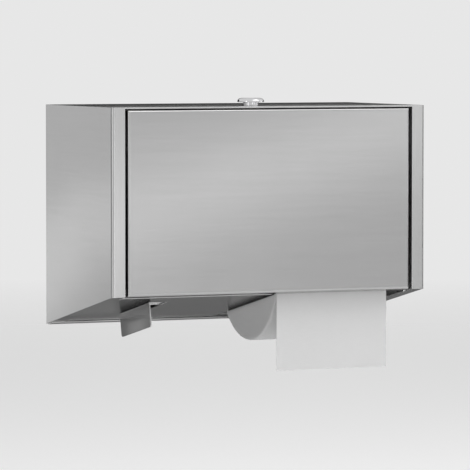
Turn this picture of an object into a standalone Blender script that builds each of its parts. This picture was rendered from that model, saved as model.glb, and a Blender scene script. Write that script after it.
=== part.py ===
"""Wall dispenser for two toilet rolls side by side, folded from brushed stainless steel.

A bottom-hinged door closes the front, and a cam lock in the top holds it. One roll hangs low,
in use. The other lies in reserve on a slide that closes its half of the slanted bottom.
Metres. X runs to the right, Y to the wall, Z up. The origin is the middle of the back plate's
rear face, on the wall.
"""

import math

import bmesh
import bpy
from mathutils import Matrix, Vector

for old in list(bpy.data.objects):
    bpy.data.objects.remove(old, do_unlink=True)

# Housing
WIDTH = 0.284
FRONT_HEIGHT = 0.155
BOTTOM_FALL = 0.032
DEPTH = 0.152
HOUSING_SHEET = 0.0012
CORNER_BEND = 0.0025
SIDE_EDGE_BEND = 0.0008
STRIP_WIDTH = 0.0117
JAMB_DEPTH = 0.012
FLANGE_WIDTH = 0.013

# Clearances and cuts
GAP = 0.0003
OVERRUN = 0.002
SMALL_STEPS = 24
ROUND_STEPS = 40
ROLL_STEPS = 96
BEND_STEPS = 4
SHARP_ANGLE = math.radians(35)
ROUND_END_SHARE = 0.999

# Back plate
BACK_SHEET = 0.001
BACK_TOP_FLANGE = 0.012
BACK_LEG_DEPTH = 0.010
BACK_LEG_LIFT = 0.0002
BACK_BEND = 0.0006
WALL_HOLE_FROM_SIDE = 0.057
WALL_HOLE_FROM_TOP = 0.0315
WALL_HOLE_FROM_BOTTOM = 0.0435
WALL_HOLE_WIDTH = 0.0065
WALL_HOLE_LENGTH = 0.014
KEYHOLE_RADIUS = 0.0065

# Closing slide, its rail and its shoe
SLIDE_SHEET = 0.001
SLIDE_END_PLAY = 0.0004
SLIDE_ROLL_PLAY = 0.0011
SLIDE_TAIL_PLAY = 0.0009
SLIDE_REAR_PLAY = 0.0008
SLIDE_BEND = 0.0008
SLIDE_CORNER = 0.003
LIP_HEIGHT = 0.008
LIP_RETURN = 0.007
TAB_PLACE = 0.0366
TAB_DROP = 0.020
TAB_WIDTH = 0.067
TAB_CORNER = 0.0025
TAB_ROOT = 0.004
WINDOW_LENGTH = 0.016
RAIL_SHEET = 0.001
RAIL_LEG = 0.009
RAIL_HEIGHT = 0.011
SHOE_LENGTH = 0.018
SHOE_HEIGHT = 0.013
SHOE_RADIUS = 0.001
SHOE_PLAY = 0.001
RIVET_RADIUS = 0.0015
RIVET_HEAD_RADIUS = 0.003
RIVET_HEAD = 0.001
RIVET_SPACING = 0.009
RIVET_HEIGHT_SHARE = 0.6

# Rolls
ROLL_FRONT_ROOM = 0.0126
ROLL_REAR_ROOM = 0.0186
ROLL_END_ROOM = 0.00225
CORE_RADIUS = 0.0225
CORE_WALL = 0.0015
ROLL_EDGE = 0.0008
IN_USE_RISE = 0.0155
TAIL_LENGTH = 0.0819
TAIL_SHEET = 0.0003

# Spindles and brackets
SPINDLE_RADIUS = 0.005
SPINDLE_FLAT = 0.004
SPINDLE_END = 0.0025
SPINDLE_CHAMFER = 0.0006
HUB_CORE_PLAY = 0.0004
HUB_WAIST = 0.0115
HUB_SEAT = 0.014
HUB_TAPER = 0.008
HUB_FLANGE_LIP = 0.002
HUB_FLANGE = 0.0012
HUB_PLAY = 0.0005
BRACKET_SHEET = 0.0015
BRACKET_BEND = 0.0015
BRACKET_FOOT = 0.012
EAR_FROM_SIDE = 0.02775
EAR_PAIR_WIDTH = 0.0165
EAR_RIVET_ROOM = 0.0047
EAR_OVER_ENTRY = 0.0136
EAR_SLIDE_PLAY = 0.0007
EAR_CORNER = 0.004
EAR_RAIL_ROOM = 0.005
RESERVE_RISE = 0.0072
ENTRY_FLARE = 0.003
ENTRY_CORNER = 0.0025
SLOT_CORNER = 0.0015

# Door and its hinge
DOOR_SHEET = 0.0012
DOOR_SIDE_GAP = 0.0025
DOOR_TOP_GAP = 0.0009
DOOR_LIFT = 0.0004
DOOR_RETURN = 0.009
DOOR_BEND = 0.002
HINGE_FLOOR_ROOM = 0.0015
PIN_RADIUS = 0.0015
PIN_HEAD_RADIUS = 0.002
PIN_HEAD = 0.001
PIN_END = 0.0015
PIN_PLAY = 0.0001

# Lock
LOCK_BACK = 0.042
LOCK_HEAD_RADIUS = 0.0112
LOCK_HEAD = 0.0034
LOCK_HEAD_ROUND = 0.0012
LOCK_SHOULDER = 0.0007
LOCK_NECK = 0.0026
LOCK_SHANK_RADIUS = 0.0059
LOCK_SHANK = 0.0185
LOCK_DISH = 0.0008
PLUG_RADIUS = 0.004
PLUG_FACE_DROP = 0.0006
KEYWAY_WIDTH = 0.0012
KEYWAY_LENGTH = 0.0055
KEYWAY_DEPTH = 0.004
NUT_ACROSS = 0.018
NUT_HEIGHT = 0.004
CAM_SHANK_ROOM = 0.004
CAM_SHEET = 0.0015
CAM_REACH = 0.026
CAM_WIDTH = 0.009
CAM_BOSS_RADIUS = 0.0029
CAM_SCREW_RADIUS = 0.0014
CAM_SCREW_HEAD_RADIUS = 0.0042
CAM_SCREW_HEAD = 0.002
CAM_SCREW_LENGTH = 0.007
CAM_SCREW_SLOT = 0.0008
STRIKE_SHEET = 0.0012
STRIKE_BEND = 0.0008
STRIKE_WIDTH = 0.010
STRIKE_PAD = 0.012
STRIKE_OVER_CAM = 0.002
STRIKE_PLAY = 0.0004
STRIKE_UNDER_CAM = 0.0008

HALF = WIDTH / 2
TOP = (FRONT_HEIGHT + BOTTOM_FALL) / 2
FRONT = -DEPTH
FRONT_BOTTOM = TOP - FRONT_HEIGHT
REAR_BOTTOM = -TOP
SLOPE = BOTTOM_FALL / DEPTH
TILT = math.atan(SLOPE)
SLANT_LENGTH = DEPTH / math.cos(TILT)

# Frame of the slanted bottom: Y runs back along it from the front edge, Z stands square on it
SLANT = Matrix.Translation((0, FRONT, FRONT_BOTTOM)) @ Matrix.Rotation(-TILT, 4, "X")

# The ears are set from the housing's sides, and the rolls fit between the ears
EAR_NEAR = EAR_PAIR_WIDTH / 2
EAR_FAR = HALF - EAR_FROM_SIDE
EAR_SPACING = EAR_FAR - EAR_NEAR
ROLL_SPREAD = (EAR_FAR + EAR_NEAR) / 2
ROLL_WIDTH = EAR_SPACING - ROLL_END_ROOM * 2
ROLL_RADIUS = (DEPTH - ROLL_FRONT_ROOM - ROLL_REAR_ROOM) / 2
ROLL_Y = FRONT + ROLL_FRONT_ROOM + ROLL_RADIUS
IN_USE_Z = FRONT_BOTTOM + IN_USE_RISE
HUB_RADIUS = CORE_RADIUS - CORE_WALL - HUB_CORE_PLAY
HUB_FLANGE_RADIUS = CORE_RADIUS + HUB_FLANGE_LIP

# The slide lies over the back plate's leg, from the left flange to the roll in use
SLIDE_LIFT = BACK_LEG_LIFT + GAP
SLIDE_TOP = SLIDE_LIFT + SLIDE_SHEET
SLIDE_FRONT = ROLL_FRONT_ROOM + SLIDE_TAIL_PLAY
SLIDE_LEFT = -HALF + FLANGE_WIDTH + SLIDE_END_PLAY
SLIDE_RIGHT = ROLL_SPREAD - ROLL_WIDTH / 2 - SLIDE_ROLL_PLAY
SLIDE_TRAVEL = HALF - FLANGE_WIDTH - SLIDE_END_PLAY - SLIDE_RIGHT
EAR_LIFT = SLIDE_TOP + EAR_SLIDE_PLAY

HINGE_Y = FRONT + HOUSING_SHEET + GAP + PIN_HEAD_RADIUS
HINGE_Z = FRONT_BOTTOM + HINGE_FLOOR_ROOM + PIN_HEAD_RADIUS
DOOR_HALF = HALF - STRIP_WIDTH - DOOR_SIDE_GAP
DOOR_TOP = TOP - HOUSING_SHEET - DOOR_TOP_GAP
LOCK_Y = FRONT + LOCK_BACK
LOCK_BORE = PLUG_RADIUS + GAP
LOCK_NECK_RADIUS = LOCK_SHANK_RADIUS + LOCK_SHOULDER
CAM_DROP = LOCK_SHANK + CAM_SHANK_ROOM
STRIKE_PLACE = CAM_REACH - STRIKE_WIDTH / 2


def slant_z(y, lift):
    """Height of the slanted bottom at depth y, raised by lift square to it."""
    return FRONT_BOTTOM - SLOPE * (y - FRONT) + lift / math.cos(TILT)


RESERVE_Z = slant_z(ROLL_Y, SLIDE_TOP + GAP + ROLL_RADIUS)
ENTRY_Z = RESERVE_Z + RESERVE_RISE


# Materials

def material(name, colour, roughness, metallic):
    made = bpy.data.materials.new(name)
    made.use_nodes = True
    shader = made.node_tree.nodes["Principled BSDF"]
    shader.inputs["Base Color"].default_value = (*colour, 1)
    shader.inputs["Roughness"].default_value = roughness
    shader.inputs["Metallic"].default_value = metallic
    return made


BRUSHED_COLOUR = (0.52, 0.52, 0.52)
PLATED_COLOUR = (0.60, 0.60, 0.60)
BLACKENED_COLOUR = (0.08, 0.08, 0.08)
CHROME_COLOUR = (0.80, 0.80, 0.81)
NYLON_COLOUR = (0.62, 0.62, 0.60)
PAPER_COLOUR = (0.82, 0.82, 0.82)
BOARD_COLOUR = (0.42, 0.36, 0.28)


def brushed(node):
    return material(node + "_steel", BRUSHED_COLOUR, 0.32, 1)


def plated(node):
    return material(node + "_plated", PLATED_COLOUR, 0.38, 1)


def blackened(node):
    return material(node + "_blackened", BLACKENED_COLOUR, 0.5, 1)


def chrome(node):
    return material(node + "_chrome", CHROME_COLOUR, 0.12, 1)


def nylon(node):
    return material(node + "_nylon", NYLON_COLOUR, 0.5, 0)


def paper(node):
    return material(node + "_paper", PAPER_COLOUR, 0.9, 0)


def board(node):
    return material(node + "_board", BOARD_COLOUR, 0.85, 0)


# Shapes

def finished(mesh, name, finish):
    """Object on a bmesh, with its normals outward and its own material."""
    bmesh.ops.recalc_face_normals(mesh, faces=mesh.faces)
    data = bpy.data.meshes.new(name)
    mesh.to_mesh(data)
    mesh.free()
    made = bpy.data.objects.new(name, data)
    bpy.context.scene.collection.objects.link(made)
    if finish:
        data.materials.append(finish(name))
    return made


def placed(point, along, axis):
    """Point of an outline in space, at a distance along the axis that it is extruded on."""
    a, b = point
    return {"X": (along, a, b), "Y": (a, along, b), "Z": (a, b, along)}[axis]


def extruded(name, outline, low, high, axis, finish=None):
    """Solid with a closed outline, from low to high along an axis."""
    mesh = bmesh.new()
    face = mesh.faces.new([mesh.verts.new(placed(p, low, axis)) for p in outline])
    grown = bmesh.ops.extrude_face_region(mesh, geom=[face])
    moved = [item for item in grown["geom"] if isinstance(item, bmesh.types.BMVert)]
    shift = Vector(placed((0, 0), high - low, axis))
    bmesh.ops.translate(mesh, verts=moved, vec=shift)
    return finished(mesh, name, finish)


def block(name, low, high, finish=None):
    """Box between two corners."""
    outline = [(low[0], low[1]), (high[0], low[1]), (high[0], high[1]), (low[0], high[1])]
    return extruded(name, outline, low[2], high[2], "Z", finish)


def turned(name, profile, axis, centre, finish=None, steps=ROUND_STEPS):
    """Solid of revolution. The profile is a closed loop of (distance along, radius)."""
    mesh = bmesh.new()
    rings = []
    for along, radius in profile:
        ring = []
        for step in range(steps if radius > 0 else 1):
            angle = math.tau * step / steps
            side = (radius * math.cos(angle), radius * math.sin(angle))
            ring.append(mesh.verts.new(Vector(centre) + Vector(placed(side, along, axis))))
        rings.append(ring)
    for ring, after in zip(rings, rings[1:] + rings[:1]):
        if len(ring) == 1 and len(after) == 1:
            continue
        for step in range(steps):
            corners = []
            for one, at in ((ring, step), (ring, step + 1), (after, step + 1), (after, step)):
                vertex = one[at % len(one)]
                if vertex not in corners:
                    corners.append(vertex)
            mesh.faces.new(corners)
    made = finished(mesh, name, finish)
    made.data.shade_smooth()
    made.data.set_sharp_from_angle(angle=SHARP_ANGLE)
    return made


def rod(name, radius, low, high, axis, centre, finish=None, steps=ROUND_STEPS):
    """Plain cylinder."""
    return turned(name, [(low, 0), (low, radius), (high, radius), (high, 0)], axis, centre, finish, steps)


def arc(corner, before, after, radius):
    """Points that round a corner, and the centre that they turn about."""
    corner = Vector(corner)
    to_before = (Vector(before) - corner).normalized()
    to_after = (Vector(after) - corner).normalized()
    half_angle = to_before.angle(to_after) / 2
    middle = (to_before + to_after).normalized()
    centre = corner + middle * (radius / math.sin(half_angle))
    start = corner + to_before * (radius / math.tan(half_angle)) - centre
    sweep = -start.angle_signed(corner + to_after * (radius / math.tan(half_angle)) - centre)
    points = []
    for step in range(BEND_STEPS + 1):
        turn = Matrix.Rotation(sweep * step / BEND_STEPS, 2)
        points.append(centre + turn @ start)
    return points, centre


def rounded(outline, radii):
    """Closed outline with each corner rounded by its own radius, where that is above zero."""
    points = []
    count = len(outline)
    for index, (corner, radius) in enumerate(zip(outline, radii)):
        if radius > 0:
            points += arc(corner, outline[index - 1], outline[(index + 1) % count], radius)[0]
        else:
            points.append(Vector(corner))
    return points


def folded(path, thickness, bend):
    """Outline of a folded sheet. The path is one face, and the sheet lies to the path's left."""
    path = [Vector(point) for point in path]
    near, far = [], []

    def add(point, normal):
        near.append(point)
        far.append(point + normal * thickness)

    def left(start, end):
        run = (end - start).normalized()
        return Vector((-run.y, run.x))

    add(path[0], left(path[0], path[1]))
    for before, corner, after in zip(path, path[1:], path[2:]):
        turn = left(before, corner).dot(after - corner)
        radius = bend + thickness if turn > 0 else bend
        points, centre = arc(corner, before, after, radius)
        for point in points:
            outward = (point - centre).normalized()
            add(point, -outward if turn > 0 else outward)
    add(path[-1], left(path[-2], path[-1]))
    return near + far[::-1]


def round_edges(made, width, chosen):
    """Bevel the edges whose two ends both pass a test."""
    mesh = bmesh.new()
    mesh.from_mesh(made.data)
    edges = [e for e in mesh.edges if chosen(e.verts[0].co, e.verts[1].co)]
    bmesh.ops.bevel(
        mesh, geom=edges, offset=width, segments=BEND_STEPS, profile=0.5, affect="EDGES", clamp_overlap=True
    )
    mesh.to_mesh(made.data)
    mesh.free()


def combine(made, tool, operation):
    """Boolean with a hidden tool."""
    tool.hide_render = True
    tool.display_type = "WIRE"
    step = made.modifiers.new(tool.name, "BOOLEAN")
    step.operation = operation
    step.solver = "EXACT"
    step.object = tool


def cut(made, *tools):
    for tool in tools:
        combine(made, tool, "DIFFERENCE")


def weld(made, *tools):
    for tool in tools:
        combine(made, tool, "UNION")


def near(a, b):
    """True where two lengths are the same within a small part of the clearance."""
    return abs(a - b) < GAP / 10


# Housing

def housing():
    sheet = HOUSING_SHEET
    side = [(FRONT, FRONT_BOTTOM), (0, REAR_BOTTOM), (0, TOP), (FRONT, TOP)]
    made = extruded("housing", side, -HALF, HALF, "X", brushed)
    round_edges(made, CORNER_BEND, lambda a, b: near(a.y, FRONT) and near(b.y, FRONT)
                and near(a.x, b.x) and not near(a.z, b.z))
    round_edges(made, SIDE_EDGE_BEND, lambda a, b: near(abs(a.x), HALF) and near(a.x, b.x)
                and abs(a.y - b.y) > JAMB_DEPTH)

    inner_top = TOP - sheet
    jamb_rear = FRONT + JAMB_DEPTH
    hollow = [(jamb_rear, slant_z(jamb_rear, sheet)), (OVERRUN, slant_z(OVERRUN, sheet)),
              (OVERRUN, inner_top), (jamb_rear, inner_top)]
    cut(made, extruded("housing_hollow", hollow, -HALF + sheet, HALF - sheet, "X"))

    strip_front = FRONT + sheet
    pocket_rear = jamb_rear + OVERRUN
    pocket = [(strip_front, slant_z(strip_front, sheet)), (pocket_rear, slant_z(pocket_rear, sheet)),
              (pocket_rear, inner_top), (strip_front, inner_top)]
    for name, sign in (("left", -1), ("right", 1)):
        inner, outer = sign * (HALF - STRIP_WIDTH + sheet), sign * (HALF - sheet)
        tool = extruded("pocket_" + name, pocket, min(inner, outer), max(inner, outer), "X")
        round_edges(tool, CORNER_BEND - sheet, lambda a, b: near(a.x, outer) and near(b.x, outer)
                    and near(a.y, strip_front) and near(b.y, strip_front))
        cut(made, tool)
        pin_low = sign * (HALF - STRIP_WIDTH - OVERRUN)
        pin_high = sign * (HALF - STRIP_WIDTH + sheet + OVERRUN)
        cut(made, rod("jamb_hole_" + name, PIN_RADIUS + PIN_PLAY, min(pin_low, pin_high),
                      max(pin_low, pin_high), "X", (0, HINGE_Y, HINGE_Z), None, SMALL_STEPS))

    deep = REAR_BOTTOM - OVERRUN
    cut(made, block("front_opening", (-HALF + STRIP_WIDTH, FRONT - OVERRUN, deep),
                    (HALF - STRIP_WIDTH, pocket_rear, inner_top)))
    floor = [(FRONT - OVERRUN, deep), (OVERRUN, deep), (OVERRUN, slant_z(OVERRUN, sheet + OVERRUN)),
             (FRONT - OVERRUN, slant_z(FRONT - OVERRUN, sheet + OVERRUN))]
    cut(made, extruded("bottom_opening", floor, -HALF + FLANGE_WIDTH, HALF - FLANGE_WIDTH, "X"))
    leg_front = -BACK_LEG_DEPTH - GAP
    cut(made, block("leg_notch", (-HALF + sheet, leg_front, deep),
                    (HALF - sheet, OVERRUN, slant_z(leg_front, sheet + OVERRUN))))
    cut(made, rod("lock_hole", LOCK_SHANK_RADIUS + GAP, TOP - sheet - OVERRUN, TOP + OVERRUN, "Z",
                  (0, LOCK_Y, 0)))
    return made


# Back plate with its wall holes

def oblong(name, centre_x, centre_z, length, width, upright):
    """Cutter for a round-ended hole in the back plate."""
    along, across = length / 2, width / 2
    if upright:
        along, across = across, along
    outline = [(centre_x - along, centre_z - across), (centre_x + along, centre_z - across),
               (centre_x + along, centre_z + across), (centre_x - along, centre_z + across)]
    end = min(along, across) * ROUND_END_SHARE
    return extruded(name, rounded(outline, [end] * 4), -BACK_SHEET - OVERRUN, OVERRUN, "Y")


def back_plate():
    top = TOP - HOUSING_SHEET - GAP
    leg_low = BACK_LEG_LIFT - BACK_SHEET
    leg_front = -BACK_LEG_DEPTH
    path = [(leg_front, slant_z(leg_front, leg_low)), (0, slant_z(0, leg_low)), (0, top),
            (-BACK_TOP_FLANGE, top)]
    half = HALF - HOUSING_SHEET - GAP
    made = extruded("back_plate", folded(path, BACK_SHEET, BACK_BEND), -half, half, "X", plated)
    for name, sign in (("left", -1), ("right", 1)):
        x = sign * (HALF - WALL_HOLE_FROM_SIDE)
        upper, lower = TOP - WALL_HOLE_FROM_TOP, REAR_BOTTOM + WALL_HOLE_FROM_BOTTOM
        rise = upper + WALL_HOLE_LENGTH / 2
        cut(made, oblong("keyhole_slot_" + name, x, rise, WALL_HOLE_LENGTH, WALL_HOLE_WIDTH, True))
        cut(made, rod("keyhole_" + name, KEYHOLE_RADIUS, -BACK_SHEET - OVERRUN, OVERRUN, "Y",
                      (x, 0, upper)))
        cut(made, oblong("lower_slot_" + name, x, lower, WALL_HOLE_LENGTH, WALL_HOLE_WIDTH, False))
    return made


def rear_slide_rail():
    low = SLIDE_TOP + GAP
    rear = -BACK_SHEET - GAP
    leg_front = rear - RAIL_LEG
    path = [(rear, slant_z(rear, low) + RAIL_HEIGHT), (rear, slant_z(rear, low)),
            (leg_front, slant_z(leg_front, low))]
    half = HALF - HOUSING_SHEET - GAP
    outline = folded(path[::-1], RAIL_SHEET, SLIDE_BEND)
    return extruded("rear_slide_rail", outline, -half, half, "X", plated)


# Brackets

def ear_front():
    """Depth of the ears' front edge, ahead of the shoe's first rivet."""
    return rivet_place(0)[0] - EAR_RIVET_ROOM


def ear_outline():
    """Side view of an ear, with its L slot: straight down to the seat, and out to the front."""
    front = ear_front()
    rear = -BACK_SHEET - GAP
    top = ENTRY_Z + EAR_OVER_ENTRY
    notch_front = rear - RAIL_LEG - EAR_RAIL_ROOM
    notch_top = slant_z(rear, EAR_LIFT) + RAIL_HEIGHT + EAR_RAIL_ROOM
    slot = SPINDLE_FLAT + GAP
    entry = SPINDLE_RADIUS + GAP
    seat = IN_USE_Z - SPINDLE_RADIUS - GAP
    outline = [
        (front, slant_z(front, EAR_LIFT)), (notch_front, slant_z(notch_front, EAR_LIFT)),
        (notch_front, notch_top), (rear, notch_top), (rear, top), (front, top),
        (front, ENTRY_Z + entry + ENTRY_FLARE), (front + ENTRY_FLARE, ENTRY_Z + entry),
        (ROLL_Y + slot, ENTRY_Z + entry), (ROLL_Y + slot, seat), (ROLL_Y - slot, seat),
        (ROLL_Y - slot, ENTRY_Z - entry), (front + ENTRY_FLARE, ENTRY_Z - entry),
        (front, ENTRY_Z - entry - ENTRY_FLARE),
    ]
    radii = [EAR_CORNER, 0, 0, 0, 0, EAR_CORNER, 0, 0, ENTRY_CORNER, 0, 0, SLOT_CORNER, 0, 0]
    return rounded(outline, radii)


def bracket(name, path):
    """Folded bracket: the ear's side view, kept only where the folded plan is."""
    xs = [point[0] for point in path]
    made = extruded(name, ear_outline(), min(xs) - OVERRUN, max(xs) + OVERRUN, "X", plated)
    plan = folded(path, BRACKET_SHEET, BRACKET_BEND)
    tool = extruded(name + "_plan", plan, REAR_BOTTOM, TOP, "Z")
    combine(made, tool, "INTERSECT")
    return made


def side_bracket(name, sign):
    """Ear outside a roll, with a foot that turns away from the roll."""
    rear = -BACK_SHEET - GAP
    ear = sign * EAR_FAR
    foot = sign * (EAR_FAR + BRACKET_FOOT)
    path = [(foot, rear), (ear, rear), (ear, ear_front())]
    return bracket(name, path if sign > 0 else path[::-1])


def centre_bracket():
    """Channel between the rolls, with one ear for each."""
    rear = -BACK_SHEET - GAP
    front = ear_front()
    path = [(EAR_NEAR, front), (EAR_NEAR, rear), (-EAR_NEAR, rear), (-EAR_NEAR, front)]
    made = bracket("centre_bracket", path)
    for index in range(2):
        y, z = rivet_place(index)
        cut(made, rod(f"ear_rivet_hole_{index}", RIVET_RADIUS + GAP, -EAR_NEAR - OVERRUN,
                      EAR_NEAR + OVERRUN, "X", (0, y, z), None, SMALL_STEPS))
    return made


# Guide shoe and its rivets

def rivet_place(index):
    """Y and Z of a rivet, in the space of the part."""
    back = SLIDE_FRONT + SLIDE_SHEET + GAP + LIP_RETURN + SHOE_PLAY
    along = back + SHOE_LENGTH / 2 + (index - 0.5) * RIVET_SPACING
    up = SLIDE_TOP + GAP + SHOE_HEIGHT * RIVET_HEIGHT_SHARE
    spot = SLANT @ Vector((0, along, up))
    return spot.y, spot.z


def guide_shoe():
    """Block between the ears, with a toe inside the slide's lip that carries the slide."""
    low = SLIDE_TOP + GAP
    toe_front = SLIDE_FRONT + SLIDE_SHEET + GAP
    toe_top = SLIDE_LIFT + LIP_HEIGHT - SLIDE_SHEET - GAP
    body_front = toe_front + LIP_RETURN + SHOE_PLAY
    body_rear = body_front + SHOE_LENGTH
    outline = [(toe_front, low), (body_rear, low), (body_rear, low + SHOE_HEIGHT),
               (body_front, low + SHOE_HEIGHT), (body_front, toe_top), (toe_front, toe_top)]
    radii = [SHOE_RADIUS, SHOE_RADIUS, SHOE_RADIUS * 2, SHOE_RADIUS * 2, 0, SHOE_RADIUS]
    half = EAR_NEAR - BRACKET_SHEET - GAP
    made = extruded("guide_shoe", rounded(outline, radii), -half, half, "X", nylon)
    made.matrix_world = SLANT
    for index in range(2):
        y, z = rivet_place(index)
        cut(made, rod(f"shoe_rivet_hole_{index}", RIVET_RADIUS + GAP, -EAR_NEAR, EAR_NEAR, "X", (0, y, z),
                      None, SMALL_STEPS))
    return made


def shoe_rivet(name, index):
    """Rivet across both ears and the shoe."""
    reach = EAR_NEAR + GAP
    head = reach + RIVET_HEAD
    profile = [(-head, 0), (-head, RIVET_HEAD_RADIUS), (-reach, RIVET_HEAD_RADIUS), (-reach, RIVET_RADIUS),
               (reach, RIVET_RADIUS), (reach, RIVET_HEAD_RADIUS), (head, RIVET_HEAD_RADIUS), (head, 0)]
    y, z = rivet_place(index)
    return turned(name, profile, "X", (0, y, z), plated, SMALL_STEPS)


# Closing slide

def closing_slide():
    """Plate with a rolled front lip, and a finger tab folded down from a punched window."""
    sheet = SLIDE_SHEET
    rear = SLANT_LENGTH - (BACK_SHEET + SLIDE_REAR_PLAY) / math.cos(TILT)
    low, high = SLIDE_LIFT, SLIDE_LIFT + LIP_HEIGHT
    path = [(SLIDE_FRONT + LIP_RETURN, high), (SLIDE_FRONT, high), (SLIDE_FRONT, low), (rear, low)]
    outline = folded(path, sheet, SLIDE_BEND)
    made = extruded("closing_slide", outline, SLIDE_LEFT, SLIDE_RIGHT, "X", brushed)
    round_edges(made, SLIDE_CORNER, lambda a, b: near(a.y, rear) and near(b.y, rear) and near(a.x, b.x))
    made.matrix_world = SLANT

    tab_x = SLIDE_LEFT + TAB_PLACE
    middle = (ROLL_Y - FRONT) / math.cos(TILT)
    tab_low, tab_high = middle - TAB_WIDTH / 2, middle + TAB_WIDTH / 2
    bend = sheet + SLIDE_BEND
    window = block("slide_window", (tab_x - bend, tab_low - GAP, low - OVERRUN),
                   (tab_x + WINDOW_LENGTH, tab_high + GAP, low + sheet + OVERRUN))
    window.matrix_world = SLANT
    cut(made, window)

    fold = [(tab_x - bend - TAB_ROOT, low + sheet), (tab_x, low + sheet), (tab_x, low - TAB_DROP)]
    tab = extruded("slide_tab", folded(fold[::-1], sheet, SLIDE_BEND), tab_low, tab_high, "Y")
    round_edges(tab, TAB_CORNER, lambda a, b: near(a.z, low - TAB_DROP) and near(b.z, low - TAB_DROP)
                and near(a.y, b.y))
    tab.matrix_world = SLANT
    weld(made, tab)
    return made


# Rolls

def roll(side, sign, z):
    """Spindle, hub, core and paper of one roll, on the joint's axis."""
    x = sign * ROLL_SPREAD
    centre = (x, ROLL_Y, z)
    near_end = EAR_SPACING / 2 + BRACKET_SHEET + SPINDLE_END
    spindle_profile = [(-near_end, 0), (-near_end, SPINDLE_RADIUS - SPINDLE_CHAMFER),
                       (-near_end + SPINDLE_CHAMFER, SPINDLE_RADIUS),
                       (near_end - SPINDLE_CHAMFER, SPINDLE_RADIUS),
                       (near_end, SPINDLE_RADIUS - SPINDLE_CHAMFER), (near_end, 0)]
    spindle = turned(side + "_spindle", spindle_profile, "X", centre, plated, SMALL_STEPS)
    flat_start = EAR_SPACING / 2 - HUB_PLAY / 2
    for end, across in ((-1, -1), (-1, 1), (1, -1), (1, 1)):
        low_x, high_x = x + end * flat_start, x + end * (near_end + OVERRUN)
        low_y, high_y = ROLL_Y + across * SPINDLE_FLAT, ROLL_Y + across * SPINDLE_RADIUS * 2
        tool = block(f"{side}_flat_{end}_{across}",
                     (min(low_x, high_x), min(low_y, high_y), z - SPINDLE_RADIUS * 2),
                     (max(low_x, high_x), max(low_y, high_y), z + SPINDLE_RADIUS * 2))
        cut(spindle, tool)

    half = EAR_SPACING / 2 - HUB_PLAY
    bore = SPINDLE_RADIUS + GAP
    seat = half - HUB_FLANGE - HUB_SEAT
    waist = seat - HUB_TAPER
    hub_profile = [(-half, bore), (-half, HUB_FLANGE_RADIUS), (-half + HUB_FLANGE, HUB_FLANGE_RADIUS),
                   (-half + HUB_FLANGE, HUB_RADIUS), (-seat, HUB_RADIUS), (-waist, HUB_WAIST),
                   (waist, HUB_WAIST), (seat, HUB_RADIUS), (half - HUB_FLANGE, HUB_RADIUS),
                   (half - HUB_FLANGE, HUB_FLANGE_RADIUS), (half, HUB_FLANGE_RADIUS), (half, bore)]
    turned(side + "_hub", hub_profile, "X", centre, nylon)

    edge = ROLL_WIDTH / 2
    core_in = CORE_RADIUS - CORE_WALL
    core_profile = [(-edge, core_in), (-edge, CORE_RADIUS), (edge, CORE_RADIUS), (edge, core_in)]
    turned(side + "_core", core_profile, "X", centre, board, ROLL_STEPS)

    paper_in = CORE_RADIUS + GAP
    paper_profile = [(-edge, paper_in), (-edge, ROLL_RADIUS - ROLL_EDGE), (-edge + ROLL_EDGE, ROLL_RADIUS),
                     (edge - ROLL_EDGE, ROLL_RADIUS), (edge, ROLL_RADIUS - ROLL_EDGE), (edge, paper_in)]
    turned(side + "_paper", paper_profile, "X", centre, paper, ROLL_STEPS)


def paper_tail():
    """Loose end of the roll in use, straight down from the front of the roll."""
    rear = ROLL_Y - ROLL_RADIUS - GAP
    half = ROLL_WIDTH / 2
    block("paper_tail", (ROLL_SPREAD - half, rear - TAIL_SHEET, IN_USE_Z - TAIL_LENGTH),
          (ROLL_SPREAD + half, rear, IN_USE_Z), paper)


# Door

def door_panel():
    """Folded tray, hinged on two pins near its lower corners."""
    sheet = DOOR_SHEET
    rear = FRONT + DOOR_RETURN
    outline = [(FRONT, slant_z(FRONT, DOOR_LIFT)), (rear, slant_z(rear, DOOR_LIFT)), (rear, DOOR_TOP),
               (FRONT, DOOR_TOP)]
    made = extruded("door_panel", outline, -DOOR_HALF, DOOR_HALF, "X", brushed)
    round_edges(made, DOOR_BEND, lambda a, b: near(a.y, FRONT) and near(b.y, FRONT))
    front, back = FRONT + sheet, rear + OVERRUN
    hollow = [(front, slant_z(front, DOOR_LIFT + sheet)), (back, slant_z(back, DOOR_LIFT + sheet)),
              (back, DOOR_TOP - sheet), (front, DOOR_TOP - sheet)]
    tool = extruded("door_hollow", hollow, -DOOR_HALF + sheet, DOOR_HALF - sheet, "X")
    round_edges(tool, DOOR_BEND - sheet, lambda a, b: near(a.y, front) and near(b.y, front))
    cut(made, tool)
    for name, sign in (("left", -1), ("right", 1)):
        low, high = sign * (DOOR_HALF - sheet - OVERRUN), sign * (DOOR_HALF + OVERRUN)
        cut(made, rod("door_hole_" + name, PIN_RADIUS + PIN_PLAY, min(low, high), max(low, high), "X",
                      (0, HINGE_Y, HINGE_Z), None, SMALL_STEPS))
    return made


def hinge_pin(name, sign):
    """Pin with its head inside the jamb's pocket and its end inside the door."""
    head_face = HALF - STRIP_WIDTH + HOUSING_SHEET + GAP
    end = DOOR_HALF - DOOR_SHEET - PIN_END
    profile = [(sign * end, 0), (sign * end, PIN_RADIUS), (sign * head_face, PIN_RADIUS),
               (sign * head_face, PIN_HEAD_RADIUS), (sign * (head_face + PIN_HEAD), PIN_HEAD_RADIUS),
               (sign * (head_face + PIN_HEAD), 0)]
    return turned(name, profile, "X", (0, HINGE_Y, HINGE_Z), blackened, SMALL_STEPS)


def cam_low():
    """Underside of the cam."""
    return TOP - CAM_DROP - CAM_SHEET


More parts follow.
